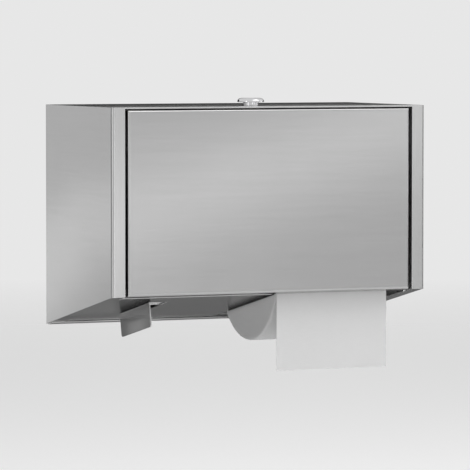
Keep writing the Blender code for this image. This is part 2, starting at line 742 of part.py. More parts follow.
def door_strike():
    """Arm behind the door that runs under the cam, with a hook turned up behind it."""
    pad_front = FRONT + DOOR_SHEET + GAP
    arm_low = cam_low() - STRIKE_UNDER_CAM - STRIKE_SHEET
    hook_front = LOCK_Y + CAM_WIDTH / 2 + STRIKE_PLAY
    path = [(pad_front, arm_low - STRIKE_PAD), (pad_front, arm_low + STRIKE_SHEET),
            (hook_front, arm_low + STRIKE_SHEET), (hook_front, TOP - CAM_DROP + STRIKE_OVER_CAM)]
    outline = folded(path[::-1], STRIKE_SHEET, STRIKE_BEND)
    half = STRIKE_WIDTH / 2
    return extruded("door_strike", outline, STRIKE_PLACE - half, STRIKE_PLACE + half, "X", plated)


# Lock

def lock_barrel():
    """Head on a short neck above the top sheet, and a shank through it."""
    seat = GAP
    neck = seat + LOCK_NECK
    face = neck + LOCK_HEAD
    inner = LOCK_BORE
    turn = LOCK_HEAD_ROUND
    profile = [(-LOCK_SHANK, inner), (-LOCK_SHANK, LOCK_SHANK_RADIUS), (seat, LOCK_SHANK_RADIUS),
               (seat, LOCK_NECK_RADIUS), (neck, LOCK_NECK_RADIUS), (neck, LOCK_HEAD_RADIUS - turn / 2),
               (neck + turn / 2, LOCK_HEAD_RADIUS), (face - turn, LOCK_HEAD_RADIUS)]
    for step in range(1, BEND_STEPS + 1):
        angle = math.pi / 2 * step / BEND_STEPS
        profile.append((face - turn + turn * math.sin(angle),
                        LOCK_HEAD_RADIUS - turn + turn * math.cos(angle)))
    profile += [(face, inner + LOCK_DISH * 2), (face - LOCK_DISH, inner + LOCK_DISH),
                (face - LOCK_DISH, inner)]
    return turned("lock_barrel", profile, "Z", (0, LOCK_Y, TOP), chrome)


def lock_nut():
    top = -HOUSING_SHEET - GAP
    corner = NUT_ACROSS / 2 / math.cos(math.pi / 6)
    outline = [(corner * math.cos(math.pi / 3 * k), LOCK_Y + corner * math.sin(math.pi / 3 * k))
               for k in range(6)]
    made = extruded("lock_nut", outline, TOP + top - NUT_HEIGHT, TOP + top, "Z", plated)
    cut(made, rod("nut_bore", LOCK_SHANK_RADIUS + GAP, TOP + top - NUT_HEIGHT - OVERRUN, TOP, "Z",
                  (0, LOCK_Y, 0)))
    return made


def lock_plug():
    """Turning plug with a keyway in its face and a boss for the cam below."""
    face = GAP + LOCK_NECK + LOCK_HEAD - LOCK_DISH - PLUG_FACE_DROP
    shoulder = -CAM_DROP + GAP
    boss = -CAM_DROP - CAM_SHEET - GAP
    hole = CAM_SCREW_RADIUS + GAP
    profile = [(face, 0), (face, PLUG_RADIUS), (shoulder, PLUG_RADIUS), (shoulder, CAM_BOSS_RADIUS),
               (boss, CAM_BOSS_RADIUS), (boss, hole), (boss + CAM_SCREW_LENGTH, hole),
               (boss + CAM_SCREW_LENGTH, 0)]
    made = turned("lock_plug", profile, "Z", (0, LOCK_Y, TOP), chrome, SMALL_STEPS)
    half_width, half_length = KEYWAY_WIDTH / 2, KEYWAY_LENGTH / 2
    cut(made, block("keyway", (-half_width, LOCK_Y - half_length, TOP + face - KEYWAY_DEPTH),
                    (half_width, LOCK_Y + half_length, TOP + face + OVERRUN)))
    return made


def lock_cam():
    """Flat arm. Unlocked, it points to the door."""
    half = CAM_WIDTH / 2
    outline = [(-half, LOCK_Y + half), (-half, LOCK_Y - CAM_REACH), (half, LOCK_Y - CAM_REACH),
               (half, LOCK_Y + half)]
    end = half * ROUND_END_SHARE
    radii = [end, half / 2, half / 2, end]
    made = extruded("lock_cam", rounded(outline, radii), cam_low(), TOP - CAM_DROP, "Z", plated)
    cut(made, rod("cam_bore", CAM_BOSS_RADIUS + GAP, cam_low() - OVERRUN, TOP - CAM_DROP + OVERRUN, "Z",
                  (0, LOCK_Y, 0)))
    return made


def cam_screw():
    top = -CAM_DROP - CAM_SHEET - GAP * 2
    low = top - CAM_SCREW_HEAD
    profile = [(low, 0), (low, CAM_SCREW_HEAD_RADIUS), (top, CAM_SCREW_HEAD_RADIUS), (top, CAM_SCREW_RADIUS),
               (top + CAM_SCREW_LENGTH, CAM_SCREW_RADIUS), (top + CAM_SCREW_LENGTH, 0)]
    made = turned("cam_screw", profile, "Z", (0, LOCK_Y, TOP), plated, SMALL_STEPS)
    half = CAM_SCREW_SLOT / 2
    wide = CAM_SCREW_HEAD_RADIUS * 2
    cut(made, block("screw_slot", (-half, LOCK_Y - wide, TOP + low - OVERRUN),
                    (half, LOCK_Y + wide, TOP + low + CAM_SCREW_HEAD / 2)))
    return made


housing()
back_plate()
rear_slide_rail()
side_bracket("left_bracket", -1)
side_bracket("right_bracket", 1)
centre_bracket()
guide_shoe()
shoe_rivet("shoe_rivet_front", 0)
shoe_rivet("shoe_rivet_rear", 1)
closing_slide()
roll("right", 1, IN_USE_Z)
paper_tail()
roll("left", -1, RESERVE_Z)
door_panel()
door_strike()
hinge_pin("hinge_pin_left", -1)
hinge_pin("hinge_pin_right", 1)
lock_barrel()
lock_nut()
lock_plug()
lock_cam()
cam_screw()
bpy.context.view_layer.update()
print("slide travel", round(SLIDE_TRAVEL, 5), "reserve axis", round(RESERVE_Z, 5),
      "lift of the roll in use", round(ENTRY_Z - IN_USE_Z, 5), "lift of the reserve", round(RESERVE_RISE, 5))
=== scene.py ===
# %% [markdown]
# # A folded steel dispenser with two paper rolls
# The real object is a box folded from one sheet of brushed stainless steel. It hangs on a wall, a
# bottom-hinged door closes its front, and a slide with a finger tab closes half of its slanted
# bottom. This lesson dresses its construction model: it gives every sheet soft edges and a grain,
# winds the paper rolls, hangs the loose sheet, and lights it all like a small product studio.
# Lengths are metres. X runs to the right, Y to the wall and Z up, and the origin is on the wall.

# %% Load the construction model
import math

import bmesh
import bpy
from mathutils import Matrix, Vector


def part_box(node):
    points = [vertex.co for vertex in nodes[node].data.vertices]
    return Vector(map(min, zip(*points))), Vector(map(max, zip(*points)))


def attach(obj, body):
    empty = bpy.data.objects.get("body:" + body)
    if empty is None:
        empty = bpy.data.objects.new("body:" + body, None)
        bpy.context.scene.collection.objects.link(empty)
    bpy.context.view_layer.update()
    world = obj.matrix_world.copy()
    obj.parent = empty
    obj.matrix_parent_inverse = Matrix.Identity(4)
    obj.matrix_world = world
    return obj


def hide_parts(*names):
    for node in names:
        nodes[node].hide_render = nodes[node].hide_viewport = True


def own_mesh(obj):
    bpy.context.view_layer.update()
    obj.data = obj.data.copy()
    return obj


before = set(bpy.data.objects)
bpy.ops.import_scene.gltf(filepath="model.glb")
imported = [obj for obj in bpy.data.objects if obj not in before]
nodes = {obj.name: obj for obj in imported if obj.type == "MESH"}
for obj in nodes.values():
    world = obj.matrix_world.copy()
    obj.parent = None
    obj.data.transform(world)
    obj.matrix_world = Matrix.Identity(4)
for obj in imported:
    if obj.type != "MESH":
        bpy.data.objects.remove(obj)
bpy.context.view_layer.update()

# %% [markdown]
# ## Camera
# The photograph was taken from the front left with a long lens, a little above the top of the box.
# The angles come from the edges of the housing in the picture: their lengths and slopes fix the
# direction, and how much the far side shrinks fixes the distance. A long lens far away keeps the
# uprights parallel, so the camera needs no shift.

# %% Camera at the photograph's angle
LENS = 282.85
CAMERA_TURN = math.radians(23.5755)
CAMERA_DIP = math.radians(3.0790)
CAMERA_AIM = Vector((-0.03268, -0.152, -0.01254))
CAMERA_DISTANCE = 3.0513


def placed(name, data):
    """New object in the scene, at the origin."""
    made = bpy.data.objects.new(name, data)
    bpy.context.scene.collection.objects.link(made)
    return made


lens = bpy.data.cameras.new("photo_camera")
lens.lens = LENS
camera = placed("photo_camera", lens)
sight = Vector((
    math.sin(CAMERA_TURN) * math.cos(CAMERA_DIP),
    math.cos(CAMERA_TURN) * math.cos(CAMERA_DIP),
    -math.sin(CAMERA_DIP),
))
camera.location = CAMERA_AIM - sight * CAMERA_DISTANCE
camera.rotation_euler = (math.pi / 2 - CAMERA_DIP, 0, -CAMERA_TURN)
bpy.context.scene.camera = camera
bpy.context.scene.view_settings.view_transform = "Standard"
print("camera at", camera.location)

# %% [markdown]
# ## Nodes in a few words
# Materials and Geometry Nodes are both made of nodes and links. One helper adds a node, and gives
# each of its sockets a value or a link. The next ones add the nodes that come up most, such as one
# sum, one noise or one bump.

# %% Helpers for node trees
def add(tree, kind, values=None, **settings):
    """New node. A value that is a socket gets linked, and any other value is set."""
    made = tree.nodes.new(kind)
    for name, value in settings.items():
        setattr(made, name, value)
    for key, value in (values or {}).items():
        socket = made.inputs[key]
        if isinstance(value, bpy.types.NodeSocket):
            tree.links.new(value, socket)
        else:
            socket.default_value = value
    return made


def result(tree, kind, values=None, **settings):
    """First output of a new node."""
    return add(tree, kind, values, **settings).outputs[0]


def feed(tree, node, results):
    """Link sockets to a node's inputs, by label."""
    for label, socket in results.items():
        tree.links.new(socket, node.inputs[label])


def maths(tree, operation, first, second=0.0, third=0.0):
    """Result of one sum, as a socket."""
    return result(tree, "ShaderNodeMath", {0: first, 1: second, 2: third}, operation=operation)


def vector_maths(tree, operation, first, second=(0, 0, 0)):
    """Result of one sum on vectors, as a socket."""
    return result(tree, "ShaderNodeVectorMath", {0: first, 1: second}, operation=operation)


def scaled(tree, vector, factor):
    """Vector or colour times a number, as a socket."""
    return result(tree, "ShaderNodeVectorMath", {0: vector, 3: factor}, operation="SCALE")


def length_of(tree, vector):
    """Length of a vector, as a socket."""
    return add(tree, "ShaderNodeVectorMath", {0: vector}, operation="LENGTH").outputs["Value"]


def axes_of(tree, place):
    """The X, Y and Z of a place, as sockets."""
    return add(tree, "ShaderNodeSeparateXYZ", {0: place}).outputs


def across_x(tree, place):
    """A place without its X, and its distance from the X axis, as sockets."""
    parts = axes_of(tree, place)
    flat = result(tree, "ShaderNodeCombineXYZ", {"Y": parts["Y"], "Z": parts["Z"]})
    return flat, length_of(tree, flat)


def spread(tree, value, from_low, from_high, to_low, to_high):
    """Value moved from one range to another, as a socket."""
    ends = {"From Min": from_low, "From Max": from_high, "To Min": to_low, "To Max": to_high}
    return add(tree, "ShaderNodeMapRange", {"Value": value, **ends}).outputs["Result"]


def noise(tree, place, scale, detail, distortion=0.0):
    """Soft random value at a place, as a socket."""
    values = {"Vector": place, "Scale": scale, "Detail": detail, "Distortion": distortion}
    return add(tree, "ShaderNodeTexNoise", values).outputs["Fac"]


def bumped(tree, height, strength, distance):
    """Normal of a bump, as a socket."""
    relief = {"Height": height, "Strength": strength, "Distance": distance}
    return result(tree, "ShaderNodeBump", relief)


def object_place(tree):
    """Point of the surface in its object's own space, as a socket."""
    return tree.nodes.new("ShaderNodeTexCoord").outputs["Object"]


def attribute(tree, name, kind):
    """Attribute that the mesh carries, as a socket."""
    return add(tree, "ShaderNodeAttribute", attribute_name=name).outputs[kind]


# %% [markdown]
# ## Materials and groups
# A material starts with one main shader, and some of its sockets get plain values. A group starts
# with its inputs and outputs. An input is given as its first value, or as the kind of its socket.

# %% Start a material or a group
SOCKET_KINDS = {float: "Float", int: "Int", tuple: "Vector"}


def neutral(grey):
    """Colour without a tint."""
    return (grey, grey, grey, 1)


def start_material(name, values=None):
    """New material with its tree and its shader, where the named sockets get their values."""
    made = bpy.data.materials.new(name)
    made.use_nodes = True
    shader = made.node_tree.nodes["Principled BSDF"]
    for label, value in (values or {}).items():
        shader.inputs[label].default_value = value
    return made, made.node_tree, shader


def group(name, kind, inputs, outputs):
    """Empty group with its sockets, its input node and its output node."""
    tree = bpy.data.node_groups.new(name, kind)
    for label, value in inputs.items():
        found = SOCKET_KINDS.get(type(value), value)
        made = tree.interface.new_socket(label, in_out="INPUT", socket_type="NodeSocket" + found)
        if found != value:
            made.default_value = value
    for label, found in outputs.items():
        tree.interface.new_socket(label, in_out="OUTPUT", socket_type="NodeSocket" + found)
    return tree, tree.nodes.new("NodeGroupInput").outputs, tree.nodes.new("NodeGroupOutput")


# %% [markdown]
# ## The studio
# A plain pale floor lies under the object. Rays from the camera and mirror rays see a pale grey
# world, and the soft light that falls on the object is dimmer, so a colour renders about as it is
# written. The floor gets the same pale grey for those rays on top of the light that falls on it,
# so it keeps the shadow. It fades out with distance, and seen from below it lets the view through.

# %% Floor and world
BACKDROP_GREY = 0.80
FILL_GREY = 0.06
FLOOR_HEIGHT = -0.32
FLOOR_SIZE = 12.0
FLOOR_GREY = 0.68
FLOOR_ROUGHNESS = 0.9
FLOOR_GLOW = 0.41
FADE_START, FADE_END = 0.5, 4.0


def sees_backdrop(tree):
    """One for rays from the camera, off a mirror or through glass, and zero for the rest."""
    path = tree.nodes.new("ShaderNodeLightPath").outputs
    seen = maths(tree, "MAXIMUM", path["Is Camera Ray"], path["Is Glossy Ray"])
    return maths(tree, "MAXIMUM", seen, path["Is Transmission Ray"])


def from_behind(tree):
    """One where a face is seen from its back, as a socket."""
    return tree.nodes.new("ShaderNodeNewGeometry").outputs["Backfacing"]


def let_through(tree, share, surface):
    """Clear where the share is one, and the surface where it is zero."""
    clear = result(tree, "ShaderNodeBsdfTransparent")
    mixed = result(tree, "ShaderNodeMixShader", {0: share, 1: surface, 2: clear})
    feed(tree, tree.nodes["Material Output"], {"Surface": mixed})


def one_face(name, corners, material):
    """Object with a single four-cornered face."""
    mesh = bpy.data.meshes.new(name)
    mesh.from_pydata(corners, [], [(0, 1, 2, 3)])
    mesh.materials.append(material)
    return placed(name, mesh)


def make_world():
    world = bpy.data.worlds.new("studio")
    bpy.context.scene.world = world
    world.use_nodes = True
    tree = world.node_tree
    tree.nodes.clear()
    seen = result(tree, "ShaderNodeBackground", {"Color": neutral(BACKDROP_GREY)})
    light = result(tree, "ShaderNodeBackground", {"Color": neutral(FILL_GREY)})
    mixed = result(tree, "ShaderNodeMixShader", {0: sees_backdrop(tree), 1: light, 2: seen})
    add(tree, "ShaderNodeOutputWorld", {"Surface": mixed})


def make_floor():
    plaster, tree, shader = start_material("pale_floor", {
        "Base Color": neutral(FLOOR_GREY), "Roughness": FLOOR_ROUGHNESS, "Specular IOR Level": 0,
    })
    strength = maths(tree, "MULTIPLY", sees_backdrop(tree), FLOOR_GLOW)
    glow = result(tree, "ShaderNodeEmission", {"Strength": strength})
    pale = result(tree, "ShaderNodeAddShader", {0: shader.outputs[0], 1: glow})
    faded = spread(tree, length_of(tree, object_place(tree)), FADE_START, FADE_END, 0, 1)
    let_through(tree, maths(tree, "MAXIMUM", faded, from_behind(tree)), pale)
    half = FLOOR_SIZE / 2
    plan = ((-half, -half), (half, -half), (half, half), (-half, half))
    floor = one_face("floor", [(x, y, FLOOR_HEIGHT) for x, y in plan], plaster)


make_world()
make_floor()
print("floor at", FLOOR_HEIGHT)

# %% [markdown]
# ## Softboxes
# Brushed steel shows the lamps, so their places draw the bands on it. Three lamps only light the
# paper and the dull parts, and metal doesn't show them: a key lamp above the camera, a wide one
# high above, and the light that a pale table throws back. Metal shows the rest. One lamp on the
# upper right lights the bends. A narrow one level with the door is turned a little and leaves the
# slanted band on it, and one behind on the left leaves the band on the side. Upright strips in
# front and at both sides light the corners.

# %% Lamps
OBJECT_MIDDLE = (0, -0.1, 0)
DOOR_MIDDLE = (0, -0.152, 0.01)
SIDE_MIDDLE = (-0.142, -0.08, -0.02)
DOOR_SLANT, SIDE_SLANT = math.radians(19), math.radians(8)


def softbox(name, spot, target, width, height, watts, roll=0.0, mirrored=True):
    """Rectangular lamp facing a target, turned about its own axis, and seen in metal or not."""
    light = bpy.data.lights.new(name, "AREA")
    light.shape = "RECTANGLE"
    light.size = width
    light.size_y = height
    light.energy = watts
    lamp = placed(name, light)
    toward = (Vector(target) - Vector(spot)).to_track_quat("-Z", "Y")
    stand = Matrix.LocRotScale(Vector(spot), toward, None)
    lamp.matrix_world = stand @ Matrix.Rotation(roll, 4, "Z")
    lamp.visible_camera = False
    lamp.visible_glossy = mirrored


softbox("key_softbox", (0.15, -1.90, 0.95), (0, -0.1, -0.05), 1.2, 1.2, 5, mirrored=False)
softbox("table_bounce", (0.10, -0.35, -0.31), (0.10, -0.10, 0), 0.8, 0.5, 0.8, mirrored=False)
softbox("bend_softbox", (0.95, -1.35, 1.85), OBJECT_MIDDLE, 1.6, 1.6, 13)
softbox("top_softbox", (0.30, -0.60, 2.40), OBJECT_MIDDLE, 2.4, 2.4, 52, mirrored=False)
softbox("door_band", (0.27, -0.90, -0.004), DOOR_MIDDLE, 1.0, 0.06, 0.158, DOOR_SLANT)
softbox("side_band", (-0.50, 0.60, -0.072), SIDE_MIDDLE, 1.0, 0.11, 0.112, SIDE_SLANT)
softbox("front_strip", (0.08, -1.50, -0.10), (0, -0.15, -0.05), 0.20, 0.4, 0.5)
softbox("left_strip", (-1.50, -0.90, 0.10), OBJECT_MIDDLE, 0.3, 1.2, 1.6)
softbox("right_strip", (1.50, -0.40, 0.10), OBJECT_MIDDLE, 0.3, 1.2, 1.6)

# %% [markdown]
# ## Cards
# A steel sheet seen at a flat angle mirrors what stands behind it, so the top and the slanted
# bottom take their tone from there. Cards stand just behind the wall plane for that, a black one
# above the top and grey ones below. Black ones at the sides draw the dark line on a bend. The
# finger tab gets two grey ones. Where the tab and the roll meet the bottom, a thin near-black card
# stands close to each, and its reflection paints shade on the bottom there. Only mirror rays see
# the cards, and only from their front.

# %% Cards
CARD_BACK = 0.06
BLACK, NEAR_BLACK = 0.0, 0.02
FAR_RIGHT = 1.0
TAB_CARD_Y = -0.035
TAB_FOOT_X = -0.106
TAB_SHADE_X = -0.0933
SHADE_GAP = 0.0003


def card(name, grey, start, end, low, high, rise=0.0):
    """Upright card between two places on the floor plan, and higher by a rise at its end."""
    cloth, tree, _ = start_material(name)
    glow = result(tree, "ShaderNodeEmission", {"Color": neutral(grey)})
    let_through(tree, from_behind(tree), glow)
    corners = [(*start, low), (*end, low + rise), (*end, high + rise), (*start, high)]
    made = one_face(name, corners, cloth)
    made.visible_camera = False
    made.visible_diffuse = False
    made.visible_shadow = False
    made.visible_transmission = False


housing_low, housing_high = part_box("housing")
left, bottom, top = housing_low.x, housing_low.z, housing_high.z
roll_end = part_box("right_paper")[0].x - SHADE_GAP

behind = ((left + 0.012, CARD_BACK), (FAR_RIGHT, CARD_BACK))
card("upper_card", BLACK, *behind, top, top + 0.07)
behind = ((left + 0.03, CARD_BACK), (FAR_RIGHT, CARD_BACK))
card("lower_card", 0.17, *behind, bottom - 0.16, bottom)
behind = ((left - 0.09, CARD_BACK), (left + 0.03, CARD_BACK))
card("under_card", 0.10, *behind, bottom - 0.12, bottom - 0.030)
behind = ((left + 0.002, TAB_CARD_Y), (left + 0.050, TAB_CARD_Y))
card("tab_card", 0.22, *behind, bottom - 0.012, bottom + 0.004)
beside = ((TAB_FOOT_X, -0.072), (TAB_FOOT_X, 0.010))
card("tab_foot_card", 0.42, *beside, -0.0970, -0.0850, -0.0165)
# Near-black card whose reflection paints shade on the bottom beside the tab
beside = ((TAB_SHADE_X, -0.0497), (TAB_SHADE_X, -0.1155))
card("tab_shade", NEAR_BLACK, *beside, -0.0905, -0.0800, 0.0138)
# Near-black card whose reflection paints shade on the bottom beside the roll
beside = ((roll_end, -0.0400), (roll_end, -0.1390))
card("roll_shade", NEAR_BLACK, *beside, -0.0916, -0.0820, 0.0209)
card("left_card", BLACK, (-1.03, 0.14), (-0.84, 0.63), -0.14, 0.14)
card("right_card", BLACK, (1.0, 0.58), (1.0, 0.14), -0.14, 0.14)
card("bend_card", BLACK, (1.0, -0.34), (1.0, -0.76), -0.30, 0.12)
print("cards stand", CARD_BACK, "behind the wall plane")

# %% [markdown]
# ## Brushed grain
# Brushing leaves fine scratches that all run one way. Noise does that when space is squeezed along
# the scratches, so one group makes the grain for every sheet, and each material gives it its own
# direction. The group gives a tone, which varies the colour, and a height for a bump.

# %% Group: brushed grain
STREAK_SIZE = (0.3, 0.16, 0.16)
STREAK_SHARE = 0.7
GRAIN_MEAN = (1 + STREAK_SHARE) / 2
TONE_GAIN = 4.0


def make_grain_group():
    inputs = {"Stretch": (30, 1800, 1800), "Contrast": 0.04}
    outputs = {"Tone": "Float", "Height": "Float"}
    tree, given, out = group("brushed_grain", "ShaderNodeTree", inputs, outputs)
    fine = vector_maths(tree, "MULTIPLY", object_place(tree), given["Stretch"])
    hair = noise(tree, fine, 1, 3)
    streak = noise(tree, vector_maths(tree, "MULTIPLY", fine, STREAK_SIZE), 1, 2)
    both = maths(tree, "ADD", hair, maths(tree, "MULTIPLY", streak, STREAK_SHARE))
    swing = maths(tree, "MULTIPLY", maths(tree, "SUBTRACT", both, GRAIN_MEAN), given["Contrast"])
    tone = maths(tree, "ADD", maths(tree, "MULTIPLY", swing, TONE_GAIN), 1.0)
    feed(tree, out, {"Tone": tone, "Height": both})
    return tree


grain_group = make_grain_group()
print("group", grain_group.name)

# %% [markdown]
# ## Uneven sheen
# A sheet that people touch is never evenly bright: faint clouds and wiped streaks change its
# roughness. Slow noise, bent by more noise, looks like that. A face attribute named edge marks the
# narrow faces where a sheet's edge was deburred, and these get a painted highlight: a lighter
# colour that stands in for the line of light along the edge.

# %% Group: uneven sheen and painted edge highlights
CLOUD_SCALE, CLOUD_BEND = 9, 0.8


def make_sheen_group():
    inputs = {"Low": 0.26, "High": 0.34}
    tree, given, out = group("uneven_sheen", "ShaderNodeTree", inputs, {"Roughness": "Float"})
    cloud = noise(tree, object_place(tree), CLOUD_SCALE, 3, CLOUD_BEND)
    feed(tree, out, {"Roughness": spread(tree, cloud, 0.1, 0.9, given["Low"], given["High"])})
    return tree


def make_edge_highlight_group():
    inputs = {"Color": "Color", "Tone": 1.0, "Painted Highlight": 1.25}
    tree, given, out = group("toned_with_painted_edge_highlights", "ShaderNodeTree", inputs, {"Color": "Color"})
    # Painted highlight: the faces that the edge attribute marks get a lighter colour
    gain = spread(tree, attribute(tree, "edge", "Fac"), 0, 1, 1, given["Painted Highlight"])
    factor = maths(tree, "MULTIPLY", gain, given["Tone"])
    feed(tree, out, {"Color": scaled(tree, given["Color"], factor)})
    return tree


sheen_group = make_sheen_group()
edge_highlight_group = make_edge_highlight_group()
print("groups", sheen_group.name, "and", edge_highlight_group.name)

# %% [markdown]
# ## Metals
# Steel is a metallic surface of middling roughness. Its own grey sets how bright it looks, and the
# grain adds only a few percent. Five finishes share one recipe: the outer sheets brushed along
# their length, the inner parts in the dull finish of the mill, turned parts, the blackened pins,
# and the bright lock.

# %% Metal materials
GRAIN_DEPTH = 0.00002


def metal(name, colour, rough, grain, edge_highlight):
    """Metal with its range of roughness, its grain's direction, contrast and bump, and its painted
    edge highlight.
    """
    low, high = rough
    stretch, contrast, bump = grain
    made, tree, shader = start_material(name, {"Metallic": 1})
    lines = {"Stretch": stretch, "Contrast": contrast}
    lines = add(tree, "ShaderNodeGroup", lines, node_tree=grain_group).outputs
    toned = {"Color": colour, "Tone": lines["Tone"], "Painted Highlight": edge_highlight}
    sheen = {"Low": low, "High": high}
    feed(tree, shader, {
        "Base Color": result(tree, "ShaderNodeGroup", toned, node_tree=edge_highlight_group),
        "Roughness": result(tree, "ShaderNodeGroup", sheen, node_tree=sheen_group),
        "Normal": bumped(tree, lines["Height"], bump, GRAIN_DEPTH),
    })
    return made


ALONG_X, ALONG_Y, ALONG_Z = (26, 1500, 1500), (1500, 26, 1500), (1500, 1500, 26)
EVEN = (420, 420, 420)
TURNED = (2200, 240, 240)
FINE_GRAIN = (0.022, 0.17)
# The last number of each metal is its painted edge highlight: how much lighter its edge faces are
door_steel = metal("door_steel", neutral(0.444), (0.185, 0.235), (ALONG_X, *FINE_GRAIN), 1.6)
housing_steel = metal("housing_steel", neutral(0.452), (0.22, 0.28), (ALONG_Y, *FINE_GRAIN), 1.6)
strip_steel = metal("strip_steel", neutral(0.498), (0.22, 0.28), (ALONG_Z, *FINE_GRAIN), 1.7)
slide_steel = metal("slide_steel", neutral(0.46), (0.20, 0.27), (ALONG_X, 0.035, 0.25), 1.2)
mill_steel = metal("mill_steel", neutral(0.55), (0.34, 0.46), (EVEN, 0.03, 0.2), 1.15)
turned_steel = metal("turned_steel", neutral(0.60), (0.26, 0.36), (TURNED, 0.04, 0.3), 1.1)
blackened_steel = metal("blackened_steel", neutral(0.05), (0.48, 0.60), (EVEN, 0.05, 0.3), 1.2)
lock_chrome = metal("lock_chrome", (0.72, 0.72, 0.73, 1), (0.12, 0.20), (EVEN, 0.01, 0.03), 1.05)
print("metals:", *[m.name for m in bpy.data.materials if m.name.endswith(("steel", "chrome"))])

# %% [markdown]
# ## Soft edges on every sheet
# The construction model has razor-sharp edges, and real sheet metal is deburred, so each edge
# catches a thin line of light. A copy of each part's mesh has its doubles merged and its flat
# regions joined again, and then its sharp edges are bevelled by a tenth of a millimetre. The new
# faces get the edge attribute, and so do the cut edges of a sheet: faces about as narrow as the
# sheet is thick, between two sharp corners. The attribute gives these faces a painted highlight,
# a lighter colour that stands in for the line of light along an edge. The outer sheets are brushed
# on one side only, so the faces that look toward the middle keep the mill's finish.

# %% Dress a construction piece
EDGE_ANGLE = math.radians(32)
CORNER_ANGLE = math.radians(70)
FLAT_ANGLE = math.radians(0.4)
WELD_DISTANCE = 0.000002
THICKEST_SHEET = 0.0016
# Share of the painted edge highlight that a cut edge gets
CUT_EDGE_HIGHLIGHT = 0.8
SHEET_BEVEL = 0.00012


def merged_copy(node):
    """The node's mesh, with its corners joined and its flat regions as single faces."""
    mesh = bmesh.new()
    mesh.from_mesh(nodes[node].data)
    bmesh.ops.remove_doubles(mesh, verts=mesh.verts, dist=WELD_DISTANCE)
    bmesh.ops.dissolve_limit(mesh, angle_limit=FLAT_ANGLE, verts=mesh.verts, edges=mesh.edges)
    return mesh


def is_cut_edge(face):
    """True for a face as narrow as a sheet's thickness, between two sharp corners."""
    if 2 * face.calc_area() > THICKEST_SHEET * face.calc_perimeter():
        return False
    long_sides = sorted(face.edges, key=lambda e: e.calc_length())[-2:]
    return all(len(e.link_faces) == 2 and e.calc_face_angle() > CORNER_ANGLE for e in long_sides)


def soften(mesh, width):
    """Bevel a bmesh's sharp edges, and mark the new faces and the cut edges for a painted
    highlight.
    """
    mark = mesh.faces.layers.float.new("edge")
    for face in mesh.faces:
        face[mark] = CUT_EDGE_HIGHLIGHT if is_cut_edge(face) else 0
    sharp = [e for e in mesh.edges if len(e.link_faces) == 2 and e.calc_face_angle() > EDGE_ANGLE]
    grown = bmesh.ops.bevel(
        mesh, geom=sharp, offset=width, segments=2, profile=0.5, affect="EDGES", clamp_overlap=False
    )
    for face in grown["faces"]:
        face[mark] = 1
    return len(sharp)


def smooth_mesh(mesh, name, angle=EDGE_ANGLE):
    """Plain mesh of a bmesh, shaded smooth between its sharp edges."""
    data = bpy.data.meshes.new(name)
    mesh.to_mesh(data)
    mesh.free()
    data.shade_smooth()
    data.set_sharp_from_angle(angle=angle)
    return data


def evaluated_mesh(made):
    """What an object's modifiers make of it, as a plain mesh."""
    graph = bpy.context.evaluated_depsgraph_get()
    data = bpy.data.meshes.new_from_object(made.evaluated_get(graph), depsgraph=graph)
    made.modifiers.clear()
    return data


def dressed(node, name, material, body, width=SHEET_BEVEL):
    """Copy of a node with its sharp edges softened, in the node's place."""
    mesh = merged_copy(node)
    count = soften(mesh, width)
    data = smooth_mesh(mesh, name)
    data.materials.append(material)
    made = placed(name, data)
    # Weighted normals keep broad flat faces flat where they meet a bend
    weigh = made.modifiers.new("weigh", "WEIGHTED_NORMAL")
    weigh.keep_sharp = True
    weigh.weight = 100
    made.data = evaluated_mesh(made)
    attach(made, body)
    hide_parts(node)
    print(name, len(made.data.polygons), "faces,", count, "edges softened")
    return made


def middle_of(node):
    low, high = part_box(node)
    return (low + high) / 2


def unbrushed_inside(made):
    """Mill finish on the faces that look toward the housing's middle, but for the faces with the
    painted edge highlight.
    """
    middle = middle_of("housing")
    marks = made.data.attributes["edge"].data
    made.data.materials.append(mill_steel)
    for face in made.data.polygons:
        if marks[face.index].value == 0 and face.normal.dot(middle - face.center) > 0:
            face.material_index = 1
    print(made.name, sum(face.material_index for face in made.data.polygons), "faces inside")


shell = dressed("housing", "housing_sheet", housing_steel, "root")
unbrushed_inside(shell)
shell.data.materials.append(strip_steel)
for face in shell.data.polygons:
    if face.normal.y < -0.9:
        face.material_index = 2
unbrushed_inside(dressed("door_panel", "door_sheet", door_steel, "door"))
unbrushed_inside(dressed("closing_slide", "slide_plate", slide_steel, "slide"))
for part in ("back_plate", "rear_slide_rail", "left_bracket", "right_bracket", "centre_bracket"):
    dressed(part, part + "_sheet", mill_steel, "root")
dressed("door_strike", "strike_arm", mill_steel, "door")
dressed("lock_cam", "cam_arm", mill_steel, "lock")

# %% [markdown]
# ## Plastic and board
# The hubs and the guide shoe are moulded nylon. Its skin is even, with a very fine grain from the
# mould. The cores are rolled grey-brown board, with short fibres and the seam of the strip that
# they are wound from, which runs round in a spiral. The seam needs the place of a point about the
# roll's own axis, so the core carries that as an attribute named local.

# %% Nylon and board
PORE_SCALE = 1900
FIBRE_STRETCH = (500, 1400, 1400)
SEAM_TURNS = 14.0
SEAM_SHARE = 0.012


def two_tones(tree, value, dark, pale):
    """Colour between two ends, as a socket."""
    tone = add(tree, "ShaderNodeValToRGB", {"Fac": value})
    tone.color_ramp.elements[0].color = dark
    tone.color_ramp.elements[1].color = pale
    return tone.outputs["Color"]


def make_nylon():
    made, tree, shader = start_material("moulded_nylon")
    place = object_place(tree)
    pores = noise(tree, place, PORE_SCALE, 2)
    cloud = noise(tree, place, 70, 2)
    feed(tree, shader, {
        "Base Color": two_tones(tree, cloud, (0.58, 0.58, 0.56, 1), (0.66, 0.66, 0.64, 1)),
        "Roughness": spread(tree, pores, 0.3, 0.7, 0.42, 0.54),
        "Normal": bumped(tree, pores, 0.3, 0.00003),
    })
    return made


